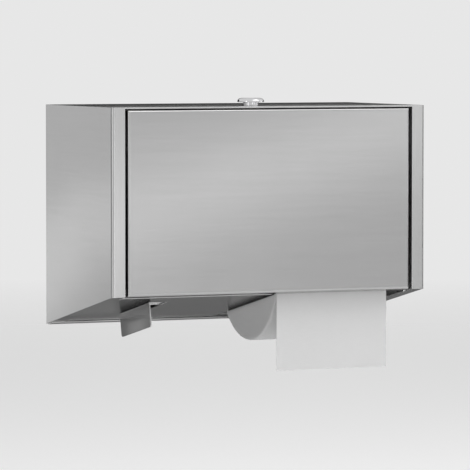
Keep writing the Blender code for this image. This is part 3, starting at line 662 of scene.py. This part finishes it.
def make_board():
    made, tree, shader = start_material("wound_board", {"Specular IOR Level": 0.3})
    local = attribute(tree, "local", "Vector")
    parts = axes_of(tree, local)
    around = maths(tree, "DIVIDE", maths(tree, "ARCTAN2", parts["Z"], parts["Y"]), 2 * math.pi)
    along = maths(tree, "ADD", maths(tree, "MULTIPLY", parts["X"], SEAM_TURNS), around)
    seam = maths(tree, "COMPARE", maths(tree, "FRACT", along), 0.5, SEAM_SHARE)
    pulp = noise(tree, vector_maths(tree, "MULTIPLY", local, FIBRE_STRETCH), 1, 4)
    tone = two_tones(tree, pulp, (0.30, 0.25, 0.19, 1), (0.54, 0.47, 0.38, 1))
    height = maths(tree, "SUBTRACT", pulp, seam)
    feed(tree, shader, {
        "Base Color": scaled(tree, tone, spread(tree, seam, 0, 1, 1, 0.55)),
        "Roughness": spread(tree, pulp, 0.3, 0.7, 0.75, 0.9),
        "Normal": bumped(tree, height, 0.5, 0.00008),
    })
    return made


nylon = make_nylon()
board = make_board()
print("materials", nylon.name, "and", board.name)

# %% [markdown]
# ## Hubs, spindles and the small fittings
# These keep the shape of the construction model, which already has their bores, flats and slots.
# They get soft edges, wide on moulded plastic and narrow on turned steel. A core also gets its
# local attribute: its points measured from the middle of its roll.

# %% Dress the fittings
fittings = (
    ("guide_shoe", nylon, "root", "nylon", 0.00030),
    ("lock_nut", turned_steel, "root", "fasteners", 0.00025),
    ("lock_plug", lock_chrome, "lock", "lock_chrome", 0.00012),
    ("cam_screw", turned_steel, "lock", "fasteners", 0.00015),
    ("right_spindle", turned_steel, "spindle_in_use", "fasteners", 0.00015),
    ("left_spindle", turned_steel, "spindle_in_reserve", "fasteners", 0.00015),
    ("right_hub", nylon, "roll_in_use", "nylon", 0.00040),
    ("left_hub", nylon, "roll_in_reserve", "nylon", 0.00040),
    ("right_core", board, "roll_in_use", "core_board", 0.00015),
    ("left_core", board, "roll_in_reserve", "core_board", 0.00015),
)

for node, material, body, slot, width in fittings:
    made = dressed(node, node + "_detail", material, body, width)
    if node.endswith("core"):
        centre = middle_of(node)
        local = made.data.attributes.new("local", "FLOAT_VECTOR", "POINT")
        local.data.foreach_set("vector", [c for v in made.data.vertices for c in v.co - centre])

# %% [markdown]
# ## Turning a profile
# A lathe part is a profile of points turned about an axis. Blender's spin does that on a row of
# edges. The points on the axis come out as many at one place and are merged, and then the faces
# are made to point outwards.

# %% Lathe
AXIS_TURN = {"X": Matrix.Identity(3), "Z": Matrix.Rotation(-math.pi / 2, 3, "Y")}


def lathe(profile, axis, centre, steps, ring=False):
    """Bmesh of a profile of (along, radius) points turned about X or Z."""
    mesh = bmesh.new()
    points = [mesh.verts.new((along, 0, radius)) for along, radius in profile]
    for first, second in zip(points, points[1:] + points[:1] if ring else points[1:]):
        mesh.edges.new((first, second))
    whole = mesh.verts[:] + mesh.edges[:]
    bmesh.ops.spin(mesh, geom=whole, axis=(1, 0, 0), angle=2 * math.pi, steps=steps, use_merge=True)
    bmesh.ops.remove_doubles(mesh, verts=mesh.verts, dist=WELD_DISTANCE)
    bmesh.ops.recalc_face_normals(mesh, faces=mesh.faces)
    stand = Matrix.Translation(centre) @ AXIS_TURN[axis].to_4x4()
    bmesh.ops.transform(mesh, matrix=stand, verts=mesh.verts)
    return mesh


# %% [markdown]
# ## Plain meshes from Geometry Nodes
# A node tree is run by a modifier. Its inputs are set by their socket identifiers, the result is
# read back as a plain mesh, and the modifier goes. That way the result is an ordinary object.

# %% Run a tree
def grown(tree, values, name, body, slot, base=None):
    """Object on what a Geometry Nodes tree makes from a base mesh and some input values."""
    carrier = placed(name + "_start", base or bpy.data.meshes.new(name + "_start"))
    modifier = carrier.modifiers.new("grow", "NODES")
    modifier.node_group = tree
    for item in tree.interface.items_tree:
        if item.in_out == "INPUT" and item.name in values:
            modifier[item.identifier] = values[item.name]
    data = evaluated_mesh(carrier)
    bpy.data.objects.remove(carrier)
    data.name = name
    made = placed(name, data)
    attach(made, body)
    print(name, len(data.polygons), "faces")
    return made


def geometry_tree(name, inputs):
    """Empty Geometry Nodes tree with its input node and its output node."""
    return group(name, "GeometryNodeTree", inputs, {"Geometry": "Geometry"})


def finish_tree(tree, out, geometry, material):
    """Plain geometry with its material, at the tree's end."""
    real = result(tree, "GeometryNodeRealizeInstances", {0: geometry})
    painted = {"Geometry": real, "Material": material}
    feed(tree, out, {"Geometry": result(tree, "GeometryNodeSetMaterial", painted)})
    return tree


# %% [markdown]
# ## Lock barrel
# The lock's bright head is a flat-topped dome on a narrow neck, and under the sheet its shank has
# a fine thread for the nut. The barrel is turned from a profile. Geometry Nodes then cut the
# thread, because its depth follows a rule: a triangle wave of the height, less the turn round the
# axis in pitches.

# %% Turn the barrel
THREAD_PITCH = 0.0010
THREAD_DEPTH = 0.00045
RINGS_PER_PITCH = 8
SHANK_RADIUS = 0.0059
NECK_RADIUS = SHANK_RADIUS + 0.0007
SKIN_TOLERANCE = 0.00002
HEAD_HEIGHT = 0.0034
RIM_HEIGHT = 0.0006
RIM_EDGE = 0.0003
DOME_TOP_SHARE = 0.66
DOME_STEPS = 8
BORE_GAP = 0.0003
BORE_DEPTH = 0.0008
BARREL_STEPS = 64
BARREL_ANGLE = math.radians(38)

barrel_low, barrel_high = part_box("lock_barrel")
nut_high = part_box("lock_nut")[1]
plug_low, plug_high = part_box("lock_plug")
lock_axis = middle_of("lock_barrel")
head_radius = (barrel_high.x - barrel_low.x) / 2
bore = (plug_high.x - plug_low.x) / 2 + BORE_GAP
head_foot = barrel_high.z - HEAD_HEIGHT
seat = nut_high.z + 0.0018


def barrel_profile():
    """Thread from the bottom up, neck, rim, dome, and the bore back down."""
    thread_top = nut_high.z
    count = round((thread_top - barrel_low.z) / THREAD_PITCH * RINGS_PER_PITCH)
    step = (thread_top - barrel_low.z) / count
    profile = [(barrel_low.z, bore), (barrel_low.z, SHANK_RADIUS - THREAD_DEPTH)]
    profile += [(barrel_low.z + k * step, SHANK_RADIUS) for k in range(1, count)]
    profile += [(thread_top, SHANK_RADIUS), (seat, SHANK_RADIUS), (seat, NECK_RADIUS)]
    profile += [(head_foot, NECK_RADIUS), (head_foot, head_radius - RIM_EDGE)]
    profile += [(head_foot + RIM_EDGE, head_radius), (head_foot + RIM_HEIGHT, head_radius)]
    rise = barrel_high.z - head_foot - RIM_HEIGHT
    flat = head_radius * DOME_TOP_SHARE
    for k in range(1, DOME_STEPS + 1):
        turn = math.pi / 2 * k / DOME_STEPS
        profile.append((
            head_foot + RIM_HEIGHT + rise * math.sin(turn) ** 1.15,
            flat + (head_radius - flat) * math.cos(turn) ** 0.85,
        ))
    ledge = barrel_high.z - BORE_DEPTH
    profile += [(barrel_high.z, bore + 2 * BORE_DEPTH), (ledge, bore + BORE_DEPTH), (ledge, bore)]
    return profile


def make_thread_tree():
    inputs = {
        "Geometry": "Geometry", "Axis": (0, 0, 0), "Radius": 0.006, "Pitch": 0.001,
        "Depth": 0.0004, "Low": 0.0, "High": 0.01, "Material": "Material",
    }
    tree, given, out = geometry_tree("cut_thread", inputs)
    place = result(tree, "GeometryNodeInputPosition")
    height = axes_of(tree, place)["Z"]
    parts = axes_of(tree, vector_maths(tree, "SUBTRACT", place, given["Axis"]))
    flat = result(tree, "ShaderNodeCombineXYZ", {"X": parts["X"], "Y": parts["Y"]})
    turn = maths(tree, "DIVIDE", maths(tree, "ARCTAN2", parts["Y"], parts["X"]), 2 * math.pi)
    phase = maths(tree, "SUBTRACT", maths(tree, "DIVIDE", height, given["Pitch"]), turn)
    wave = maths(tree, "PINGPONG", phase, 0.5)
    on_skin = maths(tree, "COMPARE", length_of(tree, flat), given["Radius"], SKIN_TOLERANCE)
    above = maths(tree, "GREATER_THAN", height, given["Low"])
    below = maths(tree, "LESS_THAN", height, given["High"])
    mask = maths(tree, "MULTIPLY", on_skin, maths(tree, "MULTIPLY", above, below))
    depth = maths(tree, "MULTIPLY", maths(tree, "MULTIPLY", wave, -2.0), given["Depth"])
    shift = scaled(tree, vector_maths(tree, "NORMALIZE", flat), depth)
    cut = {"Geometry": given["Geometry"], "Selection": mask, "Offset": shift}
    moved = result(tree, "GeometryNodeSetPosition", cut)
    return finish_tree(tree, out, moved, given["Material"])


thread_tree = make_thread_tree()
turned_barrel = lathe(
    barrel_profile(), "Z", (lock_axis.x, lock_axis.y, 0), BARREL_STEPS, ring=True
)
blank = smooth_mesh(turned_barrel, "barrel_blank", BARREL_ANGLE)
thread_values = {
    "Axis": lock_axis, "Radius": SHANK_RADIUS, "Pitch": THREAD_PITCH, "Depth": THREAD_DEPTH,
    "Low": barrel_low.z + THREAD_PITCH / 4, "High": nut_high.z, "Material": lock_chrome,
}
barrel = grown(thread_tree, thread_values, "barrel_with_thread", "root", "lock_chrome", blank)
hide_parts("lock_barrel")

# %% [markdown]
# ## Rivets and hinge pins
# A rivet is one small turned part that is set in a row, so one tree places copies of it along a
# line, each turned a little further than the last. The shoe has two rivets. The door has two pins,
# and the second one faces the other way.

# %% Rows of small parts
SMALL_BEVEL = 0.00008
SMALL_SHANK = 0.0015
RIVET_HEAD, RIVET_STEPS = 0.0010, 24
PIN_HEAD, PIN_STEPS = 0.0009, 20
PIN_CHAMFER = 0.0004


def make_row_tree():
    inputs = {
        "Part": "Object", "Start": (0, 0, 0), "Step": (0.01, 0, 0), "Count": 2,
        "Turn": (0, 0, 0), "Material": "Material",
    }
    tree, given, out = geometry_tree("row_of_parts", inputs)
    line = {"Count": given["Count"], "Start Location": given["Start"], "Offset": given["Step"]}
    points = result(tree, "GeometryNodeMeshLine", line)
    part = add(tree, "GeometryNodeObjectInfo", {"Object": given["Part"]}).outputs["Geometry"]
    turn = scaled(tree, given["Turn"], result(tree, "GeometryNodeInputIndex"))
    set_out = {"Points": points, "Instance": part, "Rotation": turn}
    row = result(tree, "GeometryNodeInstanceOnPoints", set_out)
    return finish_tree(tree, out, row, given["Material"])


def domed(foot, top, radius, steps=5):
    """Profile points of a shallow dome from its rim to the axis."""
    points = []
    for k in range(steps + 1):
        turn = math.pi / 2 * k / steps
        points.append((foot + (top - foot) * math.sin(turn), radius * math.cos(turn)))
    points[-1] = (top, 0)
    return points


def flipped(profile):
    """Profile seen from its other end."""
    return [(-along, radius) for along, radius in reversed(profile)]


def pair(name, profile, steps, slot, values):
    """Two copies of a small turned part, set in a row."""
    mesh = lathe(profile, "X", (0, 0, 0), steps)
    soften(mesh, SMALL_BEVEL)
    pattern = placed(name + "_pattern", smooth_mesh(mesh, name + "_pattern"))
    made = grown(row_tree, {"Part": pattern, "Count": 2, **values}, name, "root", slot)
    bpy.data.objects.remove(pattern)
    return made


row_tree = make_row_tree()
rivet_low, rivet_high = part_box("shoe_rivet_front")
head_start = rivet_high.x - RIVET_HEAD
rivet_half = [(head_start, SMALL_SHANK)]
rivet_half += domed(head_start, rivet_high.x, (rivet_high.z - rivet_low.z) / 2)
first, second = middle_of("shoe_rivet_front"), middle_of("shoe_rivet_rear")
rivets = pair("shoe_rivets", flipped(rivet_half) + rivet_half, RIVET_STEPS, "fasteners", {
    "Start": first, "Step": second - first, "Material": turned_steel,
})
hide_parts("shoe_rivet_front", "shoe_rivet_rear")

pin_low, pin_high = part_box("hinge_pin_left")
half = (pin_high.x - pin_low.x) / 2
pin_profile = flipped(domed(half - PIN_HEAD, half, (pin_high.z - pin_low.z) / 2))
pin_profile += [(PIN_HEAD - half, SMALL_SHANK), (half - PIN_CHAMFER, SMALL_SHANK)]
pin_profile += [(half, SMALL_SHANK - PIN_CHAMFER), (half, 0)]
pin_middle = middle_of("hinge_pin_left")
pins = pair("hinge_pins", pin_profile, PIN_STEPS, "pin_steel", {
    "Start": pin_middle, "Step": Vector((-2 * pin_middle.x, 0, 0)), "Turn": (0, 0, math.pi),
    "Material": blackened_steel,
})
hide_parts("hinge_pin_left", "hinge_pin_right")

# %% [markdown]
# ## Tissue
# Toilet tissue is creped: a blade leaves fine wrinkles across the web, which run along the roll's
# axis here. It is soft and matt, and its tone wanders a little. The cut ends of a roll show its
# layers as fine rings, so they get a second material that works from the radius about the roll's
# axis, which the points carry as the attribute local.

# %% Tissue materials
TISSUE_GREY = (0.795, 0.795, 0.795)
PAPER_SKIN = {"Specular IOR Level": 0.15, "Roughness": 0.9}
CREPE_STRETCH = (260, 1900, 1900)
RINGS_PER_METRE = 5200
RING_WANDER = 0.0006
LINT_SCALE, LINT_SHARE = 2400, 0.35


def make_tissue():
    made, tree, shader = start_material("creped_tissue", PAPER_SKIN)
    place = object_place(tree)
    crepe = noise(tree, vector_maths(tree, "MULTIPLY", place, CREPE_STRETCH), 1, 3)
    cloud = noise(tree, place, 160, 3)
    cloud_tone = spread(tree, cloud, 0.2, 0.8, 0.985, 1.0)
    tone = maths(tree, "ADD", cloud_tone, spread(tree, crepe, 0.2, 0.8, -0.02, 0.01))
    height = maths(tree, "ADD", crepe, maths(tree, "MULTIPLY", cloud, 0.8))
    feed(tree, shader, {
        "Base Color": scaled(tree, TISSUE_GREY, tone),
        "Normal": bumped(tree, height, 0.26, 0.00012),
    })
    return made


def make_wound_edge():
    made, tree, shader = start_material("wound_edge", PAPER_SKIN)
    local = attribute(tree, "local", "Vector")
    radius = across_x(tree, local)[1]
    drift = maths(tree, "MULTIPLY", noise(tree, local, 45, 2), RING_WANDER)
    rings = maths(tree, "MULTIPLY", maths(tree, "ADD", radius, drift), RINGS_PER_METRE)
    layer = noise(tree, result(tree, "ShaderNodeCombineXYZ", {"X": rings}), 1, 3)
    lint = maths(tree, "MULTIPLY", noise(tree, local, LINT_SCALE, 2), LINT_SHARE)
    both = maths(tree, "ADD", layer, lint)
    feed(tree, shader, {
        "Base Color": scaled(tree, TISSUE_GREY, spread(tree, both, 0.4, 0.95, 0.86, 1.0)),
        "Normal": bumped(tree, both, 0.5, 0.0002),
    })
    return made


tissue = make_tissue()
wound_edge = make_wound_edge()
print("materials", tissue.name, "and", wound_edge.name)

# %% [markdown]
# ## Wound rolls
# A roll of tissue is a wide strip wound on its core. Its ends are never flat: the layers stand a
# little in and out, and the soft outer layers bulge. A rule gives all of that, so Geometry Nodes
# sweep the roll's cross-section round a circle and then push the end points in or out by a noise
# that depends on the radius and hardly on the turn.

# %% Roll tree
WAVES_PER_METRE = 420
DRIFT_SCALE = 12.0
OTHER_END = 50
END_TOLERANCE = 0.0001


def make_roll_tree():
    inputs = {
        "Centre": (0, 0, 0), "Width": 0.1, "Inner Radius": 0.02, "Outer Radius": 0.06,
        "Rounding": 0.002, "Unevenness": 0.0003, "Mesh Step": 0.0014, "Steps Round": 160,
        "Seed": 1.0, "Tissue": "Material", "Wound Edge": "Material",
    }
    tree, given, out = geometry_tree("wound_roll", inputs)
    outer, inner = given["Outer Radius"], given["Inner Radius"]
    middle = maths(tree, "MULTIPLY", maths(tree, "ADD", outer, inner), 0.5)

    # The rounded cross-section, swept round a circle and turned onto the roll's axis
    section = {"Width": maths(tree, "SUBTRACT", outer, inner), "Height": given["Width"]}
    section = result(tree, "GeometryNodeCurvePrimitiveQuadrilateral", section)
    rounded = {"Curve": section, "Radius": given["Rounding"], "Count": 3}
    rounded = result(tree, "GeometryNodeFilletCurve", rounded, mode="POLY")
    outline = {"Curve": rounded, "Length": given["Mesh Step"]}
    outline = result(tree, "GeometryNodeResampleCurve", outline, mode="LENGTH")
    circle = {"Resolution": given["Steps Round"], "Radius": middle}
    circle = result(tree, "GeometryNodeCurvePrimitiveCircle", circle)
    swept = {"Curve": circle, "Profile Curve": outline}
    swept = result(tree, "GeometryNodeCurveToMesh", swept)
    turned = {"Geometry": swept, "Rotation": (0, math.pi / 2, 0)}
    turned = result(tree, "GeometryNodeTransform", turned)

    # Layers that stand in and out at both ends
    place = result(tree, "GeometryNodeInputPosition")
    along = axes_of(tree, place)["X"]
    side = maths(tree, "SIGN", along)
    flat, radius = across_x(tree, place)
    seeded = maths(tree, "ADD", maths(tree, "MULTIPLY", radius, WAVES_PER_METRE), given["Seed"])
    layer = maths(tree, "ADD", seeded, maths(tree, "MULTIPLY", side, OTHER_END))
    layer = result(tree, "ShaderNodeCombineXYZ", {"X": layer})
    where = vector_maths(tree, "ADD", layer, scaled(tree, flat, DRIFT_SCALE))
    wave = maths(tree, "MULTIPLY", noise(tree, where, 1, 2), given["Unevenness"])
    inward = maths(tree, "MULTIPLY", maths(tree, "MULTIPLY", wave, side), -1.0)
    limit = maths(tree, "MULTIPLY", given["Width"], 0.5)
    limit = maths(tree, "SUBTRACT", limit, END_TOLERANCE)
    near_end = maths(tree, "GREATER_THAN", maths(tree, "ABSOLUTE", along), limit)
    push = result(tree, "ShaderNodeCombineXYZ", {"X": inward})
    pushed = {"Geometry": turned, "Selection": near_end, "Offset": push}
    pushed = result(tree, "GeometryNodeSetPosition", pushed)

    # The attribute local, then one material for the ends and one for the rest
    stored = {"Geometry": pushed, "Name": "local", "Value": place}
    stored = result(tree, "GeometryNodeStoreNamedAttribute", stored, data_type="FLOAT_VECTOR")
    facing = axes_of(tree, result(tree, "GeometryNodeInputNormal"))["X"]
    is_end = maths(tree, "GREATER_THAN", maths(tree, "ABSOLUTE", facing), 0.7)
    soft = {"Geometry": stored, "Shade Smooth": True}
    soft = result(tree, "GeometryNodeSetShadeSmooth", soft)
    painted = {"Geometry": soft, "Material": given["Tissue"]}
    painted = result(tree, "GeometryNodeSetMaterial", painted)
    ends = {"Geometry": painted, "Selection": is_end, "Material": given["Wound Edge"]}
    ends = result(tree, "GeometryNodeSetMaterial", ends)
    moved = {"Geometry": ends, "Translation": given["Centre"]}
    moved = result(tree, "GeometryNodeTransform", moved)
    feed(tree, out, {"Geometry": result(tree, "GeometryNodeRealizeInstances", {0: moved})})
    return tree


roll_tree = make_roll_tree()
print("tree", roll_tree.name)

# %% [markdown]
# ## Both rolls
# The sizes come from the construction model's plain rolls. The roll in use shrinks as its paper is
# taken, which is when the slide passes under it.

# %% Wind the rolls
CORE_GAP = 0.0003


def wind_roll(side, body, seed):
    low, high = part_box(side + "_paper")
    core_low, core_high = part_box(side + "_core")
    values = {
        "Centre": middle_of(side + "_paper"), "Width": high.x - low.x,
        "Inner Radius": (core_high.z - core_low.z) / 2 + CORE_GAP,
        "Outer Radius": (high.z - low.z) / 2, "Rounding": 0.0016, "Unevenness": 0.0005,
        "Seed": seed, "Tissue": tissue, "Wound Edge": wound_edge,
    }
    made = grown(roll_tree, values, side + "_wound_paper", body, "paper")
    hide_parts(side + "_paper")
    return made


roll_in_use = wind_roll("right", "roll_in_use", 3.0)
wind_roll("left", "roll_in_reserve", 17.0)
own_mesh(roll_in_use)

# %% [markdown]
# ## The loose sheet
# The sheet leaves the front of the roll and hangs straight down under its own weight. It was torn
# off at a perforation, so its lower edge has fine teeth, and the paper remembers the roll: it has a
# faint curl. It is thinner than a millimetre, so a grid is bent by rule and then given a thickness.

# %% Sheet tree
RIPPLE_ACROSS, RIPPLE_DOWN = 18.0, 14.0
LOWEST_ROW = 0.999


def make_sheet_tree():
    inputs = {
        "Centre": (0, 0, 0), "Width": 0.1, "Length": 0.1, "Bend Radius": 0.06,
        "Laid Length": 0.01, "Thickness": 0.0003, "Ripple": 0.0006, "Tooth Pitch": 0.0024,
        "Tooth Height": 0.0005, "Columns": 255, "Rows": 70, "Seed": 4.0, "Material": "Material",
    }
    tree, given, out = geometry_tree("hung_sheet", inputs)
    counts = {"Vertices X": given["Columns"], "Vertices Y": given["Rows"]}
    grid = result(tree, "GeometryNodeMeshGrid", {"Size X": 1.0, "Size Y": 1.0, **counts})
    parts = axes_of(tree, result(tree, "GeometryNodeInputPosition"))

    # Teeth in the lowest row
    across = maths(tree, "MULTIPLY", parts["X"], given["Width"])
    share = maths(tree, "SUBTRACT", 0.5, parts["Y"])
    tooth = maths(tree, "PINGPONG", maths(tree, "DIVIDE", across, given["Tooth Pitch"]), 0.5)
    tooth = maths(tree, "MULTIPLY", tooth, given["Tooth Height"])
    at_edge = maths(tree, "GREATER_THAN", share, LOWEST_ROW)
    notch = maths(tree, "MULTIPLY", tooth, maths(tree, "MULTIPLY", at_edge, 2.0))

    # Laid round the roll first, and hanging from there on
    radius = given["Bend Radius"]
    run = maths(tree, "SUBTRACT", maths(tree, "MULTIPLY", share, given["Length"]), notch)
    to_go = maths(tree, "SUBTRACT", given["Laid Length"], run)
    hanging = maths(tree, "MAXIMUM", maths(tree, "MULTIPLY", to_go, -1.0), 0.0)
    turn = maths(tree, "DIVIDE", maths(tree, "MAXIMUM", to_go, 0.0), radius)
    rise = maths(tree, "MULTIPLY", maths(tree, "SINE", turn), radius)
    rise = maths(tree, "SUBTRACT", rise, hanging)
    back = maths(tree, "MULTIPLY", maths(tree, "COSINE", turn), radius)

    # A ripple that grows toward the free end
    where = result(tree, "ShaderNodeCombineXYZ", {
        "X": maths(tree, "MULTIPLY", across, RIPPLE_ACROSS),
        "Y": maths(tree, "MULTIPLY", run, RIPPLE_DOWN), "Z": given["Seed"],
    })
    free = maths(tree, "DIVIDE", hanging, given["Length"])
    swing = maths(tree, "SUBTRACT", noise(tree, where, 1, 1), 0.5)
    swing = maths(tree, "MULTIPLY", swing, given["Ripple"])
    ripple = maths(tree, "MULTIPLY", maths(tree, "MULTIPLY", swing, free), 4.0)
    ahead = maths(tree, "SUBTRACT", ripple, back)

    # Bent into place and given a thickness
    bent = result(tree, "ShaderNodeCombineXYZ", {"X": across, "Y": ahead, "Z": rise})
    shaped = result(tree, "GeometryNodeSetPosition", {"Geometry": grid, "Position": bent})
    solid = {"Mesh": shaped, "Offset Scale": given["Thickness"], "Individual": False}
    solid = result(tree, "GeometryNodeExtrudeMesh", solid)
    backs = result(tree, "GeometryNodeFlipFaces", {"Mesh": shaped})
    joined = tree.nodes.new("GeometryNodeJoinGeometry")
    tree.links.new(solid, joined.inputs[0])
    tree.links.new(backs, joined.inputs[0])
    closed = {"Geometry": joined.outputs[0], "Distance": 0.00001}
    closed = result(tree, "GeometryNodeMergeByDistance", closed)
    soft = {"Geometry": closed, "Shade Smooth": True}
    soft = result(tree, "GeometryNodeSetShadeSmooth", soft)
    moved = {"Geometry": soft, "Translation": given["Centre"]}
    moved = result(tree, "GeometryNodeTransform", moved)
    return finish_tree(tree, out, moved, given["Material"])


# %% [markdown]
# ## Hanging the sheet
# Its width and the length that hangs come from the construction model. Eight millimetres more lie
# on the roll, so that it leaves the roll without a gap.

# %% Hang the sheet
LAID_LENGTH = 0.008
SHEET_THICKNESS = 0.00025

tail_low, tail_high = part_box("paper_tail")
tail_width = tail_high.x - tail_low.x
roll_middle = middle_of("right_paper")
sheet_values = {
    "Centre": roll_middle, "Width": tail_width, "Length": tail_high.z - tail_low.z + LAID_LENGTH,
    "Bend Radius": roll_middle.y - tail_high.y, "Laid Length": LAID_LENGTH,
    "Thickness": SHEET_THICKNESS, "Material": tissue,
}
sheet = grown(make_sheet_tree(), sheet_values, "loose_sheet", "spindle_in_use", "paper")
sheet.data.set_sharp_from_angle(angle=EDGE_ANGLE)
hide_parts("paper_tail")
